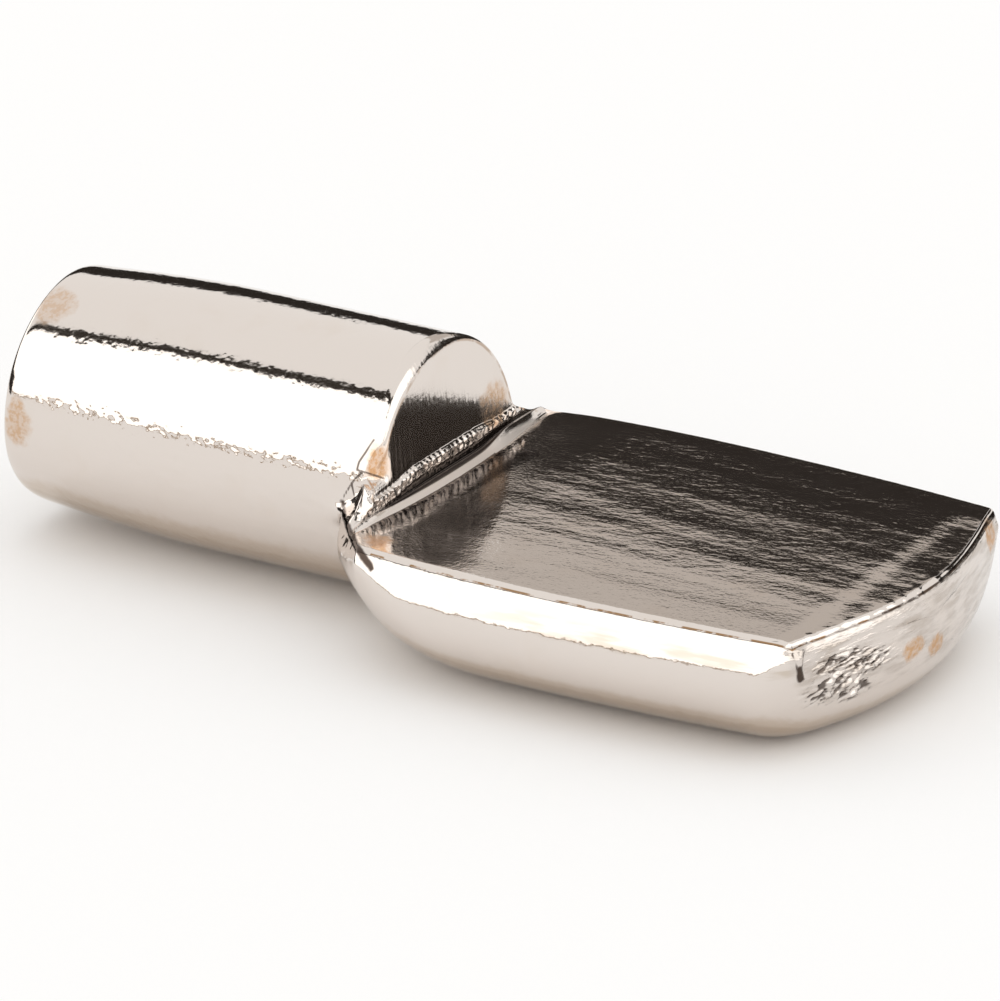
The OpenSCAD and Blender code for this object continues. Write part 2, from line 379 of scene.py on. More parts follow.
def bank(share, y):
    """The way over the bank at y: along its ledge, down its slope and out on the seat."""
    top_x, low_x = ledge_end(y)
    past = ledge_share + slope_share
    on_ledge = held(share / ledge_share)
    on_slope = held((share - ledge_share) / slope_share)
    beyond = held((share - past) / (1 - past))
    x = top_x * on_ledge + (low_x - top_x) * on_slope + (bank_to - low_x) * beyond
    return x, mix(mix(ledge_z, ledge_far_z, farness(y)), seat_z, on_slope)


print("reach of the bank in the middle, in mm:", bank_out)

# %% Rings of the shoulder
round_near, round_far = 0.24, 0.06  # rounding of the wire's edge on the two sides
round_fades = (-0.5, 1.5)  # from here to there, to the far side, it goes from one to the other
facet_from, facet_turn = 1.92, 34  # half width at which the facet starts, and its turn
facet_low, facet_high, facet_edge = 0.42, 1.2, 0.08  # its heights, and its soft lower edge
rows_in = 0.04  # how far inside the seat's edge the first row on the seat lies
rows_spread, rows_out = 0.7, 0.4  # how much the rows spread down the face and on the bank
rows_joining = 2  # rows over which the face joins the side, which stays upright
bank_end = 0.25  # the bank runs out over this distance from the seat's edge


def shoulder_half(x, sign, back, edge, down, out):
    """Half ring at x. The shares go along the wire's top, round the edge, down and out."""
    y, z = swelling(x, sign)
    top_y, top_z = crown(y[-1], z[-1], sign)
    rounding = mix(round_near, round_far, ease(sign * top_y, *round_fades))
    keep = 1 - rounding * (1 - math.cos(deg(90 * edge))) / np.hypot(top_y, top_z)
    top_y, top_z = top_y * keep, top_z * keep
    flat = (y[-1] - rows_in) * (1 - seat_share)
    over_x, over_z = bank(out, sign * flat)
    foot_z = mix(seat_z, over_z, held((y[-1] - flat) / bank_end))
    new_y = mix(top_y, mix(top_y, flat, rows_spread), down)
    new_z = mix(top_z, foot_z, down)
    new_x = -rounding * (1 - math.sin(deg(90 * edge))) + behind_face(new_z)
    fallen = -(new_y - facet_from) * math.tan(deg(facet_turn))
    in_facet = (sign < 0) * ease(new_z, facet_low, facet_low + facet_edge) * (new_z < facet_high)
    new_x = mix(new_x, np.minimum(new_x, fallen), in_facet)
    new_x = over_x if out > 0 else mix(x, new_x, back)
    new_x = mix(x, new_x, held(np.arange(1, top_steps + 1) / rows_joining))
    return (np.concatenate([np.full(lower_n, x), new_x]),
            np.concatenate([y, mix(new_y, flat, rows_out * out)]),
            np.concatenate([z, new_z]))


def shoulder_ring(x, back=1.0, edge=0.0, down=0.0, out=0.0):
    """Ring at x with its two halves of the shoulder."""
    near, far = (shoulder_half(x, sign, back, edge, down, out) for sign in (-1, 1))
    return around(near, far)


print("rounding of the wire's edge, in mm:", round_near, "to", round_far)

# %% [markdown]
# ## The end of the blade
#
# The end of the blade is sheared, so it is nearly flat and its rim is crisp at the seat and
# at the sides, while the lower edge was rounded in the die. One quarter turn does both: it
# goes all the way at the belly and stops short near the seat. A bevel would have one width
# all round.

# %% Sheared end
tip_sweep, tip_square = 0.75, 0.42  # how far its sides lie back, and how square it is
tip_bulge, bulge_depth = 0.14, 0.5  # the end stands out below the rim
tip_start = 1.0  # length over which the blade turns into its end
tip_round, tip_side_round, tip_corner = 1.35, 0.35, 0.9  # below, at the sides, at the corners
rim_w, rim_d = 0.1, 0.11  # the narrow turn at the seat
rim_turn, turn_grows = 62, 1.3  # degrees of turn at the rim, and how soon it grows to 90
rim_depth, rim_in = 0.1, 0.6  # depth at which it has grown wide, and how far it draws in
tip_rows_in = 0.06  # as rows_in, on the end
blade_from, blade_to = bank_to, blade_l - tip_start


def tip_x(u, z):
    """Place of the blade's end at half width u and height z."""
    q = (u / seat_tip) ** 2
    bulge = tip_bulge * np.sin(deg(90 * held((seat_z - z) / bulge_depth)))
    return blade_l - tip_sweep * q * (1 + tip_square * (1 - q)) + bulge


def tip_half(t):
    """Half ring of the turn into the end, t from 0 on the blade to 1 on the end."""
    y, z = struck(blade_to)
    y = np.concatenate([y, (y[-1] - tip_rows_in) * (1 - seat_share)])
    z = np.concatenate([z, np.full(top_steps, seat_z)])
    deep = depth_share(z, z[0])
    last = deg(mix(rim_turn, 90, smooth(deep * turn_grows)))
    drop = (1 - np.cos(last * t)) / (1 - np.cos(last))
    reach = mix(rim_w, mix(tip_side_round, tip_round, deep), held(deep / rim_depth))
    u = y * (1 - drop * mix(reach * rim_in, tip_corner, deep) / seat_tip)
    x = tip_x(u, z) - (np.sin(last) - np.sin(last * t)) * reach
    return x, u, z + drop * mix(-rim_d, tip_round, deep)


def tip_face_ring(s):
    """Ring on the sheared face, s from 1 at its rim to 0 in its middle."""
    _, u, z = tip_half(1.0)
    u, z = u * s, mix(mix(z[0], z[-1], 0.5), z, s)
    return even(tip_x(u, z), u, z)


print("the end's middle lies at, in mm:", round(float(tip_x(0, -1)), 2))

# %% Rings of the blade
blade_rows_in = 0.05  # as rows_in, on the blade
rows_even = 1 / 6  # share of the blade over which the rows on the seat even out


def blade_ring(share):
    """Ring of the blade, share from 0 at the bank to 1 where the end's turn starts."""
    end_x, _, _ = tip_half(0.0)
    halves = []
    for sign in (-1, 1):
        y, z = swelling(mix(blade_from, blade_to, share), sign)
        flat = (y[-1] - blade_rows_in) * (1 - seat_share)
        top_y, _ = crown(y[-1], z[-1], sign)
        first = mix(top_y, (y[-1] - rows_in) * (1 - seat_share), rows_spread)
        top = mix(mix(first, flat, rows_out), flat, ease(share, 0, rows_even))
        halves.append((mix(blade_from, end_x, share), np.concatenate([y, top]),
                       np.concatenate([z, np.full(top_steps, seat_z)])))
    return around(*halves)


print("the blade's own stretch, in mm:", round(blade_to - blade_from, 2))

# %% All the rings in order
# Places at which the wire's swelling is taken for each stretch of the shoulder.
wall_x, lobe_x, edge_x, face_x, foot_x = -1.0, -0.82, -0.3, -0.08, 0.06
face_crowd = 0.8  # the rings stand closer together at the top of the face


def shares(n, first=0.0, last=1.0):
    """n shares from first to last, without the first."""
    return mix(first, last, np.arange(1, n + 1) / n)


stretches = [
    ("end", [end_ring(s) for s in (0.0, 0.35, 0.7, 0.93)]),
    ("nose", [nose_ring(t) for t in np.linspace(0, 1, 7)]),
    ("lead", [lead_ring(t) for t in shares(6, 1, 0)]),
    ("wall", [wire_ring(mix(lead_l - pin_l, wall_x, t), pin_r) for t in shares(8)]),
    ("lobe", [shoulder_ring(mix(lobe_x, edge_x, t), back=t) for t in shares(8)]),
    ("edge", [shoulder_ring(mix(edge_x, face_x, t), edge=t) for t in shares(7)]),
    ("face", [shoulder_ring(mix(face_x, foot_x, t), edge=1, down=t**face_crowd)
              for t in shares(18)]),
    ("bank", [shoulder_ring(mix(foot_x, bank_to, t), edge=1, down=1, out=t)
              for t in (0.12, 0.25, 0.28, 0.5, 0.75, 0.84, 0.9, 1.0)]),
    ("blade", [blade_ring(t) for t in shares(34)]),
    ("tip", [even(*tip_half(t)) for t in shares(8)]),
    ("tip face", [tip_face_ring(s) for s in (0.99, 0.96, 0.9, 0.82, 0.72, 0.58, 0.35, 0.0)]),
]
rings = np.array([ring for _, stretch in stretches for ring in stretch])
first_of = {}
rings_before = 0
for name, stretch in stretches:
    first_of[name] = rings_before
    rings_before += len(stretch)
print("rings along the skin:", len(rings))

# %% [markdown]
# ## The skin
#
# The first ring is a circle of vertices. It is extruded once for every station, and then
# all the points are set on their rings at once, because moving some hundred rings one after
# the other would only be slower. The first and the last ring lie in one point each, so
# merging the doubles closes the skin there. A subdivision surface then rounds it.

# %% Extrude the rings
bpy.ops.object.select_all(action="DESELECT")
bpy.ops.mesh.primitive_circle_add(vertices=columns, radius=pin_r * mm, fill_type="NOTHING")
pin = bpy.context.object
pin.name = "spoon_pin"
bpy.ops.object.mode_set(mode="EDIT")
bpy.ops.mesh.select_all(action="SELECT")
for _ in range(len(rings) - 1):
    bpy.ops.mesh.extrude_region_move(TRANSFORM_OT_translate={"value": (0, 0, mm)})
bpy.ops.object.mode_set(mode="OBJECT")
print("points extruded:", len(pin.data.vertices))

# %% Set each point on its ring
# A point's height in the extruded tube tells its ring, and its angle tells its column.
to_shoulder = np.array([shoulder_x, 0, 0])
tube = np.empty(len(pin.data.vertices) * 3)
pin.data.vertices.foreach_get("co", tube)
tube_x, tube_y, tube_z = tube.reshape(-1, 3).T
ring_of = np.round(tube_z / mm).astype(int)
column_of = np.round(np.arctan2(tube_y, tube_x) / (2 * math.pi / columns)).astype(int) % columns
place = (rings[ring_of, column_of] + to_shoulder) * mm
pin.data.vertices.foreach_set("co", place.reshape(-1))
print("points placed:", len(place))

# %% Close and round the skin
same_place = 1e-7
bpy.ops.object.mode_set(mode="EDIT")
bpy.ops.mesh.select_all(action="SELECT")
bpy.ops.mesh.remove_doubles(threshold=same_place)
bpy.ops.mesh.normals_make_consistent(inside=False)
bpy.ops.object.mode_set(mode="OBJECT")
rounding = pin.modifiers.new("rounding", "SUBSURF")
rounding.levels = rounding.render_levels = 1
bpy.ops.object.modifier_apply(modifier=rounding.name)
bpy.ops.object.shade_smooth()
print("skin:", len(pin.data.polygons), "faces")

# %% [markdown]
# ## Finer faces for the marks
#
# The punch leaves a row of small teeth over the foot of the shoulder, the cutter tears pits
# into the sheared end and raises a ragged burr along its rim. These marks are a tenth of a
# millimetre across. Only the faces there are subdivided again, so that the mesh has points
# to carry them and stays light elsewhere. A finer subdivision surface would have the same
# effect, but on the whole pin, and it would make the mesh many times heavier.

# %% Subdivide the faces in a box
no_end = math.inf


def refine(piece, low_corner, high_corner, cuts, from_end=False):
    """Subdivides the faces whose middles lie in a box, its x from the shoulder or the end."""
    middle = np.empty(len(piece.data.polygons) * 3)
    piece.data.polygons.foreach_get("center", middle)
    middle = middle.reshape(-1, 3) / mm - to_shoulder
    if from_end:
        middle[:, 0] -= tip_x(middle[:, 1], middle[:, 2])
    chosen = np.all((middle > low_corner) & (middle < high_corner), axis=1)
    bpy.context.tool_settings.mesh_select_mode = (False, False, True)
    bpy.ops.object.mode_set(mode="EDIT")
    bpy.ops.mesh.select_all(action="DESELECT")
    bpy.ops.object.mode_set(mode="OBJECT")
    piece.data.polygons.foreach_set("select", chosen)
    bpy.ops.object.mode_set(mode="EDIT")
    bpy.ops.mesh.subdivide(number_cuts=cuts)
    bpy.ops.object.mode_set(mode="OBJECT")
    print("refined to", len(piece.data.polygons), "faces")


# %% Refine the places of the teeth, the pits, the rim and the near lobe
refine(pin, (-0.1, -3.4, seat_z + 0.03), (0.04, 3.4, 0.55), cuts=1)
refine(pin, (-0.45, -3.9, -1.95), (no_end, -0.5, -0.3), cuts=2, from_end=True)
refine(pin, (-0.25, -no_end, seat_z - 0.14), (no_end, 1.6, no_end), cuts=1, from_end=True)
refine(pin, (-0.8, -2.6, 0.05), (0.0, -1.85, 1.22), cuts=1)

# %% [markdown]
# ## Marks of the tools
#
# A sculptor would now push the points with a brush. Here each mark is a formula in the place
# of a point, and the points move along X, along Z or along the skin's normal. The noise has
# no random start, so the pin is the same at every run.

# %% Read the points and their normals
count = len(pin.data.vertices)
at = np.empty(count * 3)
pin.data.vertices.foreach_get("co", at)
at = at.reshape(-1, 3) / mm - to_shoulder
x, y, z = at.T
outward = np.empty(count * 3)
pin.data.vertex_normals.foreach_get("vector", outward)
outward = outward.reshape(-1, 3)
push = np.zeros((count, 3))
print("points of the skin:", count)

# %% Helpers for marks
along_x, along_z = np.array([1.0, 0, 0]), np.array([0, 0, 1.0])
from_face = abs(x - behind_face(z))
from_seat = abs(z - seat_z)
to_end = tip_x(y, z) - x


def move(name, direction, amount):
    """Adds a move of every point, in mm, along a direction or its own normal."""
    push[:] += direction * amount[:, None]
    print(name, "up to", round(float(abs(amount).max()), 3), "mm")


def rough(across, up, size_across, size_up, layer):
    """Noise from -1 to 1 with lumps of two sizes in mm. Each layer has other lumps."""
    return np.array([noise.noise(Vector((b / size_across, c / size_up, a)))
                     for a, b, c in np.broadcast(layer, across, up)])


def gap_to(line):
    """Distance of every point from the nearest point of a line, in mm."""
    gap = np.full(count, np.inf)
    for a, b in zip(line[:-1], line[1:]):
        along = b - a
        share = held((at - a) @ along / max(along @ along, 1e-9))
        gap = np.minimum(gap, np.linalg.norm(at - a - share[:, None] * along, axis=1))
    return gap


# %% [markdown]
# ### Teeth over the foot of the shoulder
#
# A worn punch does not slide past the metal. It drags it down the face in short ridges, a
# row of small teeth, and leaves a thin lip that hangs over the foot. Under the lip there is
# a groove, which the finish darkens with painted shade. Two noises make the ridges, a coarse
# one that leans one way and a fine one that leans the other way, because evenly spaced teeth
# would look like a thread. Noise is slow in Python, so it is worked out only near the marks.

# %% Teeth
teeth_z, teeth_far_z = 0.15, 0.27  # middle of the row on the near and on the far side
teeth_h, far_thinner = 0.13, 0.65  # half its height, and how much of it the far side has
teeth_d, lip_d = 0.035, 0.06  # how far the teeth and the lip over the foot stand out
on_face = from_face < 0.08
teeth_mid = mix(teeth_z, teeth_far_z, ease(y, -2.2, -1.0))
teeth_half = teeth_h * mix(1, far_thinner, ease(y, 1.0, 1.8))
band = np.exp(-(((z - teeth_mid) / teeth_half) ** 4)) * on_face
near = np.flatnonzero(band > 0.01)
ridges = np.zeros(count)
ridges[near] = 1 - 2 * abs(rough(y[near] + 0.45 * z[near], z[near], 0.16, 0.4, 3))
ridges[near] += 0.7 * rough(y[near] - 0.4 * z[near], z[near], 0.09, 0.12, 8)
move("teeth:", along_x, teeth_d * band * ridges)

# %% Lip over the foot
lip_z = teeth_mid + 1.15 * teeth_half
lip = held((z - teeth_mid + teeth_half) / (2 * teeth_half)) * ease(z, lip_z, lip_z - 0.05)
lip = lip * (abs(y) < 3) * ease(y, 2.1, 1.7)
move("lip:", along_x, lip_d * lip * on_face)

# %% [markdown]
# ### The sheared end
#
# The cutter goes through part of the blade and tears the rest. The torn part is a patch of
# small pits, and the metal that the cutter dragged along stands up as a burr on the rim,
# with a bead at the near corner. Boolean cuts would leave pits with clean edges, so the
# skin is pushed in and out by noise instead, strongest in the middle of the torn patch.

# %% Pits in the sheared end
# Each torn place is its Y and Z and its half width and half height.
pit_d = 0.11
torn_places = [(-2.6, -0.8, 0.6, 0.18), (-1.95, -1.0, 0.5, 0.2),
               (-2.85, -1.3, 0.5, 0.24), (-2.3, -1.45, 0.4, 0.2)]
torn = np.zeros(count)
for torn_y, torn_z, wide, high in torn_places:
    torn = np.maximum(torn, np.exp(-(((y - torn_y) / wide) ** 2) - ((z - torn_z) / high) ** 2))
torn = torn * ease(to_end, 0.35, 0.2) * (z < seat_z - 0.02)
near = np.flatnonzero(torn > 0.05)
crags = np.zeros(count)
crags[near] = rough(y[near] - 1.2 * z[near], z[near], 0.2, 0.09, 5)
crags[near] += 0.6 * rough(y[near], z[near], 0.08, 0.05, 6)
move("pits:", outward, -pit_d * torn * crags)

# %% Burr along the rim of the end
burr_in, burr_w, burr_d = 0.03, 0.1, 0.022  # its place before the end, its width and height
burr = np.exp(-(((to_end - burr_in) / burr_w) ** 2)) * ease(z, seat_z - 0.2, seat_z - 0.1)
burr = burr * ease(y, 1.5, 0.0)
near = np.flatnonzero(burr > 0.02)
lumps = np.zeros(count)
lumps[near] = rough(y[near], z[near], 0.35, 0.3, 9 + 3 * x[near])
lumps[near] += 0.5 * rough(y[near], z[near], 0.16, 0.1, 10 + 6 * x[near])
move("burr:", outward, burr_d * burr * lumps)

# %% Bead of metal squeezed out at the near corner
bead_w, bead_h = 0.075, 0.05
bead = np.array([(9.68, -3.61, -0.33), (9.71, -3.70, -0.48),
                 (9.72, -3.70, -0.62), (9.71, -3.62, -0.85)])
move("bead:", outward, bead_h * np.exp(-((gap_to(bead) / bead_w) ** 2)))

# %% [markdown]
# ### The seat and the rest of the skin
#
# The punch was a little hollow, so the seat drops by a hair before its end. Everything else
# has the slow unevenness of rolled wire and of metal that flowed into a die. Only the face
# of the shoulder was pressed against flat steel and keeps still.

# %% Low step before the end of the seat
step_x, step_w, step_d = 9.2, 0.3, 0.03
from_step = x - step_x + 0.03 * y
stepped = ease(from_step, 0, step_w) * ease(z, seat_z - 0.25, seat_z - 0.05)
move("step:", along_z, -step_d * stepped * ease(y, 3.4, 2.6))

# %% Slow waves
wave_d = 0.005
waves = np.array([noise.noise(Vector((px * 0.35, py * 0.8, pz * 0.8 + 4))) for px, py, pz in at])
still = ease(z, seat_z, seat_z + 0.05) * ease(abs(x), 0.6, 0.3)
move("waves:", outward, wave_d * waves * (1 - still))

# %% Keep the marks inside the solid's box and set the points
inside_by = 0.002
low, high = (np.array(corner) / mm - to_shoulder for corner in cad_box)
moved = np.clip(at + push, low + inside_by, high - inside_by)
pin.data.vertices.foreach_set("co", ((moved + to_shoulder) * mm).reshape(-1))
pin.data.update()
print("largest push, mm:", round(float(np.abs(push).max()), 3))

# %% [markdown]
# ## Guides for the finish
#
# Thin brown lines follow the rims, and painted shade and painted dark reflections lie along
# the creases, the folds and the far edge of the end. The shader has to know how far a point
# is from such a line, so that distance is stored on the skin as an attribute, in millimetres,
# for each line. Other attributes say which part of the pin a point belongs to. Painting masks
# by hand would do the same, but they would have to be painted again whenever the shape changes.

# %% Helpers for guides


def guide(name, values):
    """Stores one value for each point of the skin."""
    layer = pin.data.attributes.new(name, "FLOAT", "POINT")
    layer.data.foreach_set("value", np.asarray(values, dtype=np.float32))
    print("guide:", name, "from", round(float(values.min()), 2), "to", round(float(values.max()), 2))


def gap_to_all(lines):
    """Distance of every point from the nearest of several lines."""
    return np.min([gap_to(np.array(line)) for line in lines], axis=0)


# %% Lines along the seat's rim, the crest of the shoulder and the far edge of the end
blade = rings[first_of["blade"]:first_of["tip"]]
tip_ring = rings[first_of["tip face"] - 1]
crest_ring = rings[first_of["face"] - 1]
near_rim, far_rim = lower_n - 2, columns - lower_n + 2
far_edge_from = lower_n + 20
rim = np.concatenate([blade[::3, near_rim], tip_ring[near_rim:far_rim + 1:3],
                      blade[::-3, far_rim]])
guide("rim_gap", gap_to(rim))
guide("arch_gap", gap_to(crest_ring[lower_n + 1:columns - lower_n:2]))
# Along the far edge of the end the finish paints a dark line, a painted dark reflection.
guide("far_edge_gap", gap_to(tip_ring[far_edge_from:far_rim + 1:3]))

# %% Creases of the near lobe and of the near corner, where metal folded over itself
# Each line is a few points in mm from the shoulder.
creases = [
    [(-0.28, -2.15, 1.24), (-0.38, -2.28, 1.02), (-0.48, -2.36, 0.83), (-0.50, -2.40, 0.68)],
    [(-0.13, -2.05, 1.15), (-0.08, -1.95, 0.87), (-0.06, -1.84, 0.64), (-0.04, -1.88, 0.43)],
    [(-0.50, -2.40, 0.68), (-0.32, -2.41, 0.67), (-0.22, -2.25, 0.58), (-0.11, -2.12, 0.50)],
    [(-0.37, -2.41, 0.67), (-0.52, -2.45, 0.51), (-0.63, -2.48, 0.32), (-0.75, -2.51, 0.10),
     (-0.78, -2.56, -0.09), (-0.70, -2.65, -0.18)],
    [(-0.58, -2.46, 0.42), (-0.51, -2.51, 0.21), (-0.20, -2.98, 0.04), (0.07, -3.35, -0.07)],
    [(-0.30, -2.45, 0.58), (-0.25, -2.61, 0.40), (-0.16, -2.83, 0.20), (0.11, -3.23, 0.0)],
    [(9.56, -3.71, -0.20), (9.63, -3.79, -0.35), (9.69, -3.74, -0.62), (9.71, -3.63, -0.85)],
    [(9.67, -3.35, -0.23), (9.73, -3.60, -0.40), (9.73, -3.66, -0.64), (9.73, -3.56, -0.91)],
]
folds = [
    [(-0.76, -2.53, 0.02), (-0.60, -2.76, -0.10), (-0.44, -2.94, -0.12), (-0.16, -3.26, -0.15),
     (0.18, -3.63, -0.17), (0.51, -3.96, -0.18), (0.71, -4.08, -0.28), (0.87, -4.16, -0.37)],
    [(9.70, -3.70, -0.62), (9.71, -3.63, -0.88)],
]
# The dark lines that the finish draws along these creases and folds are painted shade and painted
# dark reflections.
guide("crease_gap", gap_to_all(creases))
guide("fold_gap", gap_to_all(folds))

# %% Parts of the shoulder and of its foot
above_seat = z > seat_z + 0.01
ledge_x, slope_x = ledge_end(y)
struck_top = (x > behind_face(z) - 0.05) * (x > -0.4) * (z < 2.45)
guide("struck_top", struck_top * ease(z, seat_z - 0.03, seat_z - 0.01))
guide("shoulder_face", (from_face < 0.1) * (x > -0.3) * ease(z, seat_z + 0.02, seat_z + 0.12))
guide("bank", ease(x, 0.05, 0.1) * above_seat * (x < bank_to) * (abs(y) < 4))
# Painted shade in the groove under the lip and in the gaps between the teeth.
groove_z = teeth_mid - 0.6 * teeth_half
groove = ease(z, groove_z, groove_z - 0.05) * above_seat * (x > -0.1)
groove = groove * ease(x, ledge_x + 0.02, ledge_x) * ease(abs(y), 2.6, 2.1)
between_teeth = 0.8 * band * ease(ridges, 0.1, -0.4)
guide("foot_shade", np.maximum(groove, between_teeth))

# %% Parts of the seat, the end and the underside
on_level = from_seat < 0.01
# The seat beside the shoulder's foot gets a painted dark reflection of the shoulder's face.
face_reflection_x = 1.05 + 0.1 * (y + 1)
seat_face_reflection = ease(x, face_reflection_x, face_reflection_x - 0.5) * ease(y, -3.6, -2.4) * ease(y, 2.1, 1.2)
guide("seat", on_level * (x > 0.12))
guide("seat_face_reflection", seat_face_reflection * on_level * (x > slope_x - 0.05) * (x > 0.1))
guide("end_face", ease(to_end, 0.12, 0.02) * (x > 8) * ease(z, seat_z - 0.06, seat_z - 0.12))
# How deep the pits go, which the finish turns into painted shade.
guide("pitted", torn * held(crags + 0.1))
# How much a point faces down, which the finish turns into the belly's painted shade.
guide("underside", -outward[:, 2])

# %% Ride on the root, and hide the solid's part that the skin replaces
pin.matrix_world = Matrix.Identity(4)
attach(pin, "root")
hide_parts("support_pin")

# %% [markdown]
# ## The finish
#
# Barrel nickel is bright and a little warm. Its grain shows as an orange peel that breaks
# up the edges of reflections. On the seat the punch has drawn long ripples, and the sheared
# end is striped and pitted. Tarnish is tan where it has spread, and thin brown lines follow
# the rims. Shade and dark reflections are painted into the colour in the creases, the pits,
# the groove at the shoulder's foot, along the far edge of the end, beside the shoulder and on
# the belly.
#
# A shader tree is easier to read as sums than as boxes and wires. `Wire` wraps one socket:
# arithmetic on it adds Math nodes, and its `node` method adds any other node.

# %% A socket that can be added and multiplied


class Wire:
    """One output socket of a shader tree, or the tree alone where there is none yet."""

    def __init__(self, tree, socket=None):
        self.tree = tree
        self.socket = socket

    def node(self, kind, settings, inputs, output=0):
        """Adds a node, with its settings first and then the values or links of its sockets."""
        made = self.tree.nodes.new(kind)
        for name, value in settings.items():
            setattr(made, name, value)
        for name, value in inputs.items():
            if isinstance(value, Wire):
                self.tree.links.new(value.socket, made.inputs[name])
            else:
                made.inputs[name].default_value = value
        return Wire(self.tree, made.outputs[output])

    def maths(self, operation, *values):
        return self.node("ShaderNodeMath", {"operation": operation}, dict(enumerate(values)))

    def __add__(self, other):
        return self.maths("ADD", self, other)

    def __mul__(self, other):
        return self.maths("MULTIPLY", self, other)

    def __sub__(self, other):
        return self.maths("SUBTRACT", self, other)

    def __rsub__(self, other):
        return self.maths("SUBTRACT", other, self)

    __radd__ = __add__
    __rmul__ = __mul__


# %% Words of the finish


def scaled(point, x, y, z):
    """The point with each of its parts multiplied."""
    return point.node("ShaderNodeVectorMath", {"operation": "MULTIPLY"}, {0: point, 1: (x, y, z)})


def turned(point, angle):
    """The point turned about Z by an angle in degrees."""
    return point.node("ShaderNodeVectorRotate", {"rotation_type": "Z_AXIS"},
                      {"Vector": point, "Angle": math.radians(angle)})


def part(point, axis):
    """One coordinate of the point."""
    return point.node("ShaderNodeSeparateXYZ", {}, {"Vector": point}, output=axis)


def clouds(point, size, detail=2.0, crisp=0.5):
    """Noise from 0 to 1 whose features are about size across."""
    return point.node("ShaderNodeTexNoise", {}, {"Vector": point, "Scale": 1 / size,
                                                 "Detail": detail, "Roughness": crisp})


def brushed(point, size_x, size_y, size_z, detail=2.0, crisp=0.5):
    """Noise from 0 to 1 whose features have their own size along each axis."""
    return clouds(scaled(point, 1 / size_x, 1 / size_y, 1 / size_z), 1.0, detail, crisp)


def rise(value, low, high):
    """0 at low and 1 at high, eased between them. With low over high it falls."""
    return value.node("ShaderNodeMapRange", {"interpolation_type": "SMOOTHSTEP"},
                      {"Value": value, "From Min": low, "From Max": high})


def most(first, *others):
    """The largest of several values."""
    for other in others:
        first = first.maths("MAXIMUM", first, other)
    return first


def tint(base, colour, share):
    """The base colour with a share of another."""
    return share.node("ShaderNodeMix", {"data_type": "RGBA"}, {0: share, 6: base, 7: (*colour, 1)},
                      output=2)


# %% Start the nickel
nickel = bpy.data.materials.new("nickel_plate")
nickel.use_nodes = True
nickel.node_tree.nodes.clear()
start = Wire(nickel.node_tree)
metres = start.node("ShaderNodeTexCoord", {}, {}, output="Object")
point = scaled(metres, 1 / mm, 1 / mm, 1 / mm)
along = part(point, "X")
across = part(point, "Y")
height = part(point, "Z")


def stored(name):
    """A guide of the skin."""
    return start.node("ShaderNodeAttribute", {"attribute_name": name}, {}, output="Fac")


on_seat, end_face = stored("seat"), stored("end_face")
struck_top, shoulder_face = stored("struck_top"), stored("shoulder_face")
print("material:", nickel.name)

# %% [markdown]
# ### Relief
#
# Rolled wire has a fine grain that plating turns into orange peel. It is left on the pin and
# weaker on all that the tools have pressed. The seat has the ripples and streaks of the
# punch, the face a trace of its own, and the sheared end deep stripes. Geometry this fine
# would need millions of faces, so it is a bump, its height in millimetres.

# %% Where the rolled skin and the ripples of the punch are
pressed_flat = 1 - struck_top * 0.85
near_blade = 1 - 0.65 * rise(along, shoulder_x - 0.6, shoulder_x + 0.6)
under_crest = 1 - 0.6 * rise(height, 1.55, 1.8)
rolled = pressed_flat * near_blade * under_crest * rise(along, -6.9, -6.2)
rippled = on_seat * rise(along, shoulder_x + 0.9, shoulder_x + 2.2)
rippled = rippled * (1 - 0.65 * rise(across, -1.6, -2.8))

# %% Relief of the surface, in mm
peel_d, grit_d, seat_grit_d, grain_d, stripe_d = 0.012, 0.001, 0.0014, 0.006, 0.04
ripple_d, streak_d, mottle_d = 0.0055, 0.026, 0.005
ripple_turn, streak_turn = -8, 5  # degrees between the two and the blade's length
peel = clouds(point, 0.17, detail=1.0)
grit = clouds(point, 0.07)
ripple = brushed(turned(point, ripple_turn), 0.32, 0.15, 1)
streak = brushed(turned(point, streak_turn), 6, 0.9, 1, detail=1.0)
mottle = clouds(point, 0.4)
grain = brushed(point, 1, 0.15, 1.5, crisp=0.6)
stripes = brushed(point, 1, 0.9, 0.17, detail=3.0, crisp=0.6)
relief = rolled * peel * peel_d + grit * grit_d
relief = relief + rippled * (ripple * ripple_d + streak * streak_d + mottle * mottle_d)
relief = relief + on_seat * grit * seat_grit_d
relief = relief + shoulder_face * grain * grain_d
relief = relief + end_face * stripes * stripe_d

# %% [markdown]
# ### Tarnish and painted shade
#
# Where the plating is thin or damp has stayed, the steel shows through in tan blots on the
# pin and on the end. Thin broken brown lines follow the rims. The dark lines in the creases,
# the folds, the torn pits, the groove at the shoulder's foot and along the far edge of the end
# are painted shade and painted dark reflections, and so is a dark patch on the seat beside the
# shoulder. The belly is painted brown as a whole, a painted shade of the board under it. Each
# kind is a mask, and noise breaks up its edge, so that no line looks drawn.

# %% Lines, and painted shade in dark places
# Each line is full within the second distance from its guide and gone beyond the first.
breaks = clouds(point, 0.35, 3.0, 0.6)
# Thin broken brown lines along the seat's rim and the shoulder's crest.
rim_line = rise(stored("rim_gap"), 0.035, 0.012) * rise(breaks, 0.42, 0.55)
arch_line = rise(stored("arch_gap"), 0.045, 0.015) * rise(breaks, 0.4, 0.55)
# Crease and fold lines: painted shade and painted dark reflections.
crease_line = rise(stored("crease_gap"), 0.03, 0.012) * rise(breaks, 0.3, 0.42)
fold_line = rise(stored("fold_gap") + breaks * 0.08, 0.13, 0.08)
# Painted dark reflection along the far edge of the end.
far_line = rise(stored("far_edge_gap"), 0.04, 0.02) * rise(breaks, 0.35, 0.45)
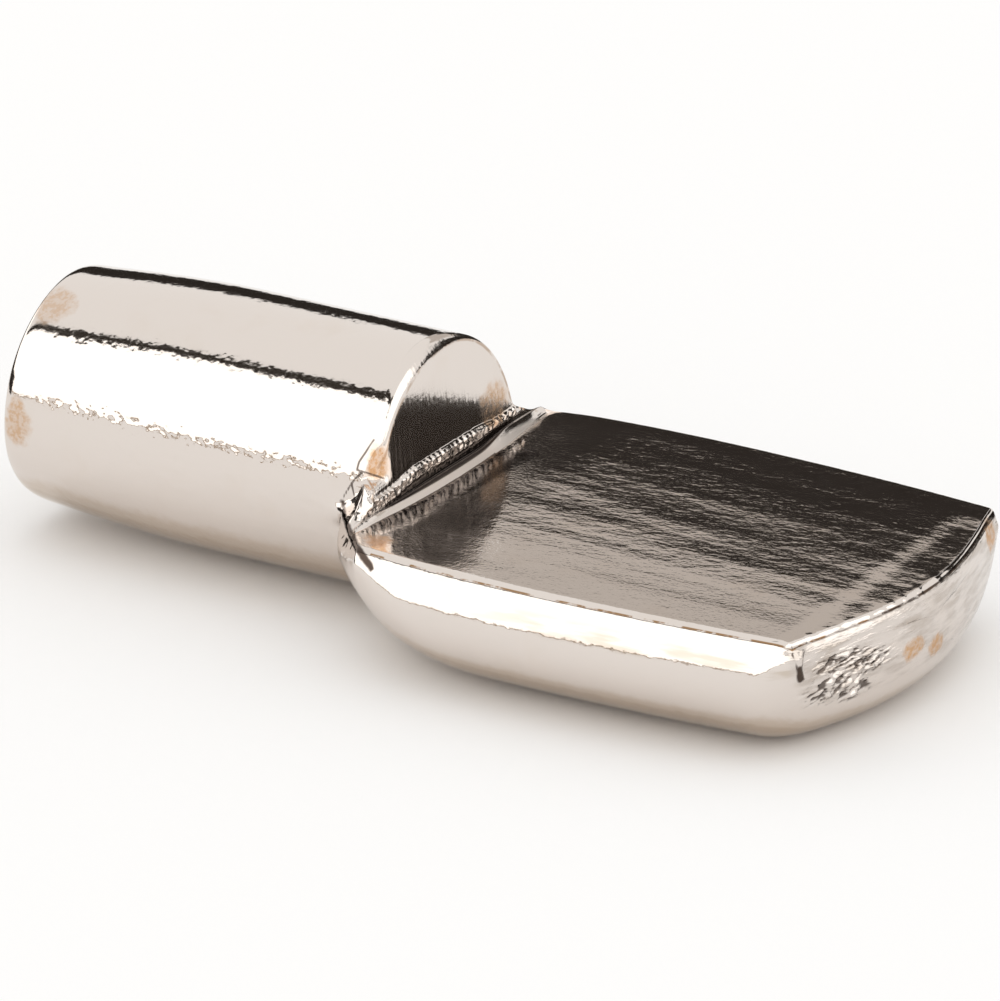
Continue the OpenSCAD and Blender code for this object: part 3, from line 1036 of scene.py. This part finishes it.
# Painted shade in the pits, darker where they go deeper.
pit_shade = rise(stored("pitted"), 0.04, 0.25)
# Painted dark reflection of the shoulder's face on the seat.
face_reflected = rise(stored("seat_face_reflection") + (breaks - 0.5) * 0.9, 0.3, 0.9)
thin = most(rim_line, arch_line * 0.6)
# All of these but the thin lines are painted shade and painted dark reflections.
lines = most(crease_line * 0.85, pit_shade * 0.85, fold_line * 0.97, far_line * 0.85,
             stored("foot_shade") * 0.88, face_reflected * 0.82)

# %% Tan blots
# Each blot is its place, its radii and its strength.
blots = [
    ((-7.95, -1.1, 2.0), (0.5, 0.55, 0.4), 0.6),
    ((-8.05, -2.3, 0.0), (0.35, 0.6, 0.5), 0.8),
    ((10.4, -0.7, -1.15), (0.6, 0.35, 0.25), 1.0),
    ((10.4, 0.1, -1.35), (0.6, 0.3, 0.25), 1.0),
    ((9.9, 3.2, -0.4), (0.5, 0.35, 0.35), 1.0),
    ((-0.1, 1.75, 0.6), (0.3, 0.6, 0.5), 0.8),
    ((-0.2, -2.15, 0.8), (0.18, 0.28, 0.42), 1.0),
    ((0.6, -3.45, -0.13), (0.35, 0.3, 0.3), 0.7),
]
ragged = (breaks - 0.5) * 1.1


def blot(centre, radii):
    """A ragged blot round a place given in mm from the shoulder, 1 inside it."""
    middle = np.array(centre) + to_shoulder
    near = scaled(point, *(1 / r for r in radii))
    far = point.node("ShaderNodeVectorMath", {"operation": "DISTANCE"},
                     {0: near, 1: tuple(middle / radii)}, output="Value")
    return rise(far + ragged, 1.1, 0.6)


speckled = 0.5 + 0.5 * rise(clouds(point, 0.12, 3.0, 0.7), 0.4, 0.6)
tan = most(*(blot(centre, radii) * strength for centre, radii, strength in blots)) * speckled
print("blots:", len(blots))

# %% Haze, the painted shade of the belly and the belt along the flanks
underside = stored("underside")
haze = most(rise(clouds(point, 1.6, 3.0, 0.6), 0.5, 0.72) * 0.12,
            end_face * rise(stripes, 0.5, 0.68) * 0.35)
# Painted shade: the belly gets browner where it faces down, a painted reflection of the shaded board
# under it.
brown = rise(underside + (breaks - 0.5) * 0.15, 0.48, 0.62) * 0.5
underside_deep_shade = rise(underside + (breaks - 0.5) * 0.1, 0.64, 0.7) * rise(underside, 0.82, 0.74)
belt = rise(height, -0.85, -0.72) * rise(height, -0.36, -0.52) * rise(along, 3.0, 6.5)
belt = belt * rise(brushed(point, 2.2, 1, 0.3, detail=3.0, crisp=0.6), 0.45, 0.6) * 0.5
grey_stripes = end_face * (0.12 + 0.42 * rise(stripes, 0.4, 0.62))

# %% Colours
clean_nickel = (0.75, 0.685, 0.635, 1)
straw = (0.62, 0.50, 0.38)
# Colours of the belly's painted shade.
belly_shade_brown = (0.55, 0.44, 0.33)
deep_shade_brown = (0.42, 0.31, 0.2)
belt_brown = (0.5, 0.41, 0.31)
torn_grey = (0.42, 0.37, 0.33)
rust_tan = (0.58, 0.36, 0.20)
rim_line_brown = (0.34, 0.20, 0.10)
# Colour of the painted shade and the painted dark reflections.
painted_shade_dark = (0.06, 0.04, 0.03)

# %% Mix the colour, from what covers most to what lies on top
colour = tint(clean_nickel, straw, haze)
# Painted shade on the underside.
colour = tint(colour, belly_shade_brown, brown)
colour = tint(colour, deep_shade_brown, underside_deep_shade * 0.35)
colour = tint(colour, belt_brown, belt * (1 - end_face))
colour = tint(colour, torn_grey, grey_stripes)
colour = tint(colour, rust_tan, tan)
# Thin brown lines along the rims.
colour = tint(colour, rim_line_brown, thin)
# Painted shade and painted dark reflections in the creases, folds, pits and groove, along the far
# edge and beside the shoulder.
colour = tint(colour, painted_shade_dark, lines)

# %% Wire the shader
polish = 0.075  # roughness of clean plating
roughness = polish + stored("bank") * 0.38 + on_seat * 0.015 + end_face * 0.13
roughness = roughness + shoulder_face * 0.04 + tan * 0.2
bump = start.node("ShaderNodeBump", {}, {"Strength": 1.0, "Distance": mm, "Height": relief})
shader = start.node("ShaderNodeBsdfPrincipled", {}, {
    "Base Color": colour, "Metallic": 1.0, "Roughness": roughness, "Normal": bump})
surface = nickel.node_tree.nodes.new("ShaderNodeOutputMaterial")
nickel.node_tree.links.new(shader.socket, surface.inputs["Surface"])
pin.data.materials.clear()
pin.data.materials.append(nickel)
print("nodes in the finish:", len(nickel.node_tree.nodes))

# %% [markdown]
# ## The studio
#
# Polished metal shows its surroundings and little else, so a metal part is lit by what
# stands round it. This one lies on a white board with a large softbox in front and one more
# on each side. Narrow dark gaps above and below the front one draw the thin lines along the
# pin. Black flags stand behind the part and at the left: the seat and the face of the
# shoulder mirror them, and so the metal reads as metal. The cards are seen in reflections
# alone. They neither light the board nor throw a shadow, and the even light of the room
# does the rest.

# %% Helpers for cards
floor_z = cad_box[0][2]
floor_mm = floor_z / mm


def card(name, corner_points, colour, strength=1.0):
    """A glowing card through four corners in metres, seen in reflections alone."""
    bpy.ops.object.select_all(action="DESELECT")
    bpy.ops.mesh.primitive_plane_add(size=1)
    made = bpy.context.object
    made.name = name
    order = [corner_points[i] for i in (0, 1, 3, 2)]
    made.data.vertices.foreach_set("co", np.array(order, float).reshape(-1))
    made.data.update()
    glow = bpy.data.materials.new(name)
    glow.use_nodes = True
    glow.node_tree.nodes.clear()
    lit = Wire(glow.node_tree).node("ShaderNodeEmission", {},
                                    {"Color": (*colour, 1), "Strength": strength})
    out = glow.node_tree.nodes.new("ShaderNodeOutputMaterial")
    glow.node_tree.links.new(lit.socket, out.inputs["Surface"])
    made.data.materials.append(glow)
    made.visible_camera = False
    made.visible_diffuse = False
    made.visible_shadow = False


def strip(name, low, high, colour, strength=1.0):
    """A card along X between two angles seen from the pin's axis, 0 in front and 90 above."""
    left, right, away = -1.6, 0.9, 0.6
    card(name, [(x, -away * math.cos(deg(a)), away * math.sin(deg(a)))
                for x, a in ((left, low), (right, low), (right, high), (left, high))],
         colour, strength)


def upright(name, foot_from, foot_to, foot_z, top_from, top_to, colour, strength=1.0):
    """An upright card in mm from one (x, y) to another, with the height of its two tops."""
    corners = [(*foot_from, foot_z), (*foot_to, foot_z), (*foot_to, top_to), (*foot_from, top_from)]
    card(name, np.array(corners) * mm, colour, strength)


# %% Softbox in front with its gaps
soft_white, soft_strength = (1, 0.99, 0.97), 1.7
strip("softbox", 1.5, 70, soft_white, soft_strength)
strip("gap_above", 70, 78, (0.03, 0.025, 0.02))
strip("gap_below", -1.4, 1.6, (0.3, 0.2, 0.11))

# %% Flags behind
black = (0.028, 0.024, 0.021)
grey = (0.6, 0.56, 0.52)
back_y = 20
upright("pin_flag", (-45, back_y), (-13, back_y), 1.4, 11.0, 11.0, black)
upright("seat_flag", (-13, back_y), (-2, back_y), 1.0, 9.2, 10.3, black)
upright("rim_flag", (-2, back_y), (9, back_y), 1.0, 10.3, 10.2, black)
upright("crest_flag", (8.5, back_y), (10.65, back_y), 13.6, 15.5, 15.5, black)
face_flag = [(5.9, 20.2, 1.0), (20, 20.2, 1.0), (20, 20.2, 9), (11.1, 20.2, 16.5)]
card("face_flag", np.array(face_flag) * mm, black)
upright("fringe", (-11, 20.5), (6, 20.5), 5.0, 14.5, 22.0, grey)

# %% Flags and softboxes at the sides
left_x = -60
upright("left_flag", (left_x, -42), (left_x, 0), floor_mm, 14, 14, black)
upright("far_left_flag", (left_x, 0), (left_x, 60), floor_mm, 16, 10, black)
upright("left_softbox", (-62, -15), (-62, 20), floor_mm, 34, 34, soft_white, soft_strength)
upright("side_softbox", (600, -500), (600, 500), 60, 900, 900, soft_white, soft_strength)

# %% Floor and room light
bpy.ops.object.select_all(action="DESELECT")
bpy.ops.mesh.primitive_plane_add(size=2, location=(0, 0, floor_z))
floor = bpy.context.object
floor.name = "floor"
paper = bpy.data.materials.new("paper")
paper.use_nodes = True
board = paper.node_tree.nodes["Principled BSDF"]
board.inputs["Base Color"].default_value = (1, 1, 1, 1)
board.inputs["Roughness"].default_value = 0.9
board.inputs["Specular IOR Level"].default_value = 0.0
floor.data.materials.append(paper)
world = bpy.data.worlds.new("studio")
bpy.context.scene.world = world
world.use_nodes = True
world.node_tree.nodes["Background"].inputs["Color"].default_value = (1, 0.992, 0.98, 1)
world.node_tree.nodes["Background"].inputs["Strength"].default_value = 1.0
print("floor at, in mm:", round(floor_mm, 3))

# %% [markdown]
# ## The camera
#
# The pin is small, so a long lens from 30 cm keeps its lines nearly parallel. The camera
# looks down at it from the front and a little from the blade's end.

# %% Camera
azimuth, elevation = deg(30.948), deg(22.279)
distance, aside, below = 300, 0.989, 0.622
pixels_per_mm, picture_w = 53.511, 1000
back = Vector((math.sin(azimuth) * math.cos(elevation), -math.cos(azimuth) * math.cos(elevation),
               math.sin(elevation)))
right = Vector((math.cos(azimuth), math.sin(azimuth), 0))
up = back.cross(right)
eye = (back * distance + right * aside - up * below + Vector(to_shoulder)) * mm
lens = bpy.data.cameras.new("camera")
camera = bpy.data.objects.new("camera", lens)
bpy.context.scene.collection.objects.link(camera)
camera.matrix_world = Matrix.Translation(eye) @ Matrix((right, up, back)).transposed().to_4x4()
lens.sensor_width = 36
lens.lens = pixels_per_mm * distance * lens.sensor_width / picture_w
lens.clip_start, lens.clip_end = 0.01, 10
bpy.context.scene.camera = camera
bpy.context.scene.view_settings.view_transform = "Standard"
print("lens, mm:", round(lens.lens, 1))
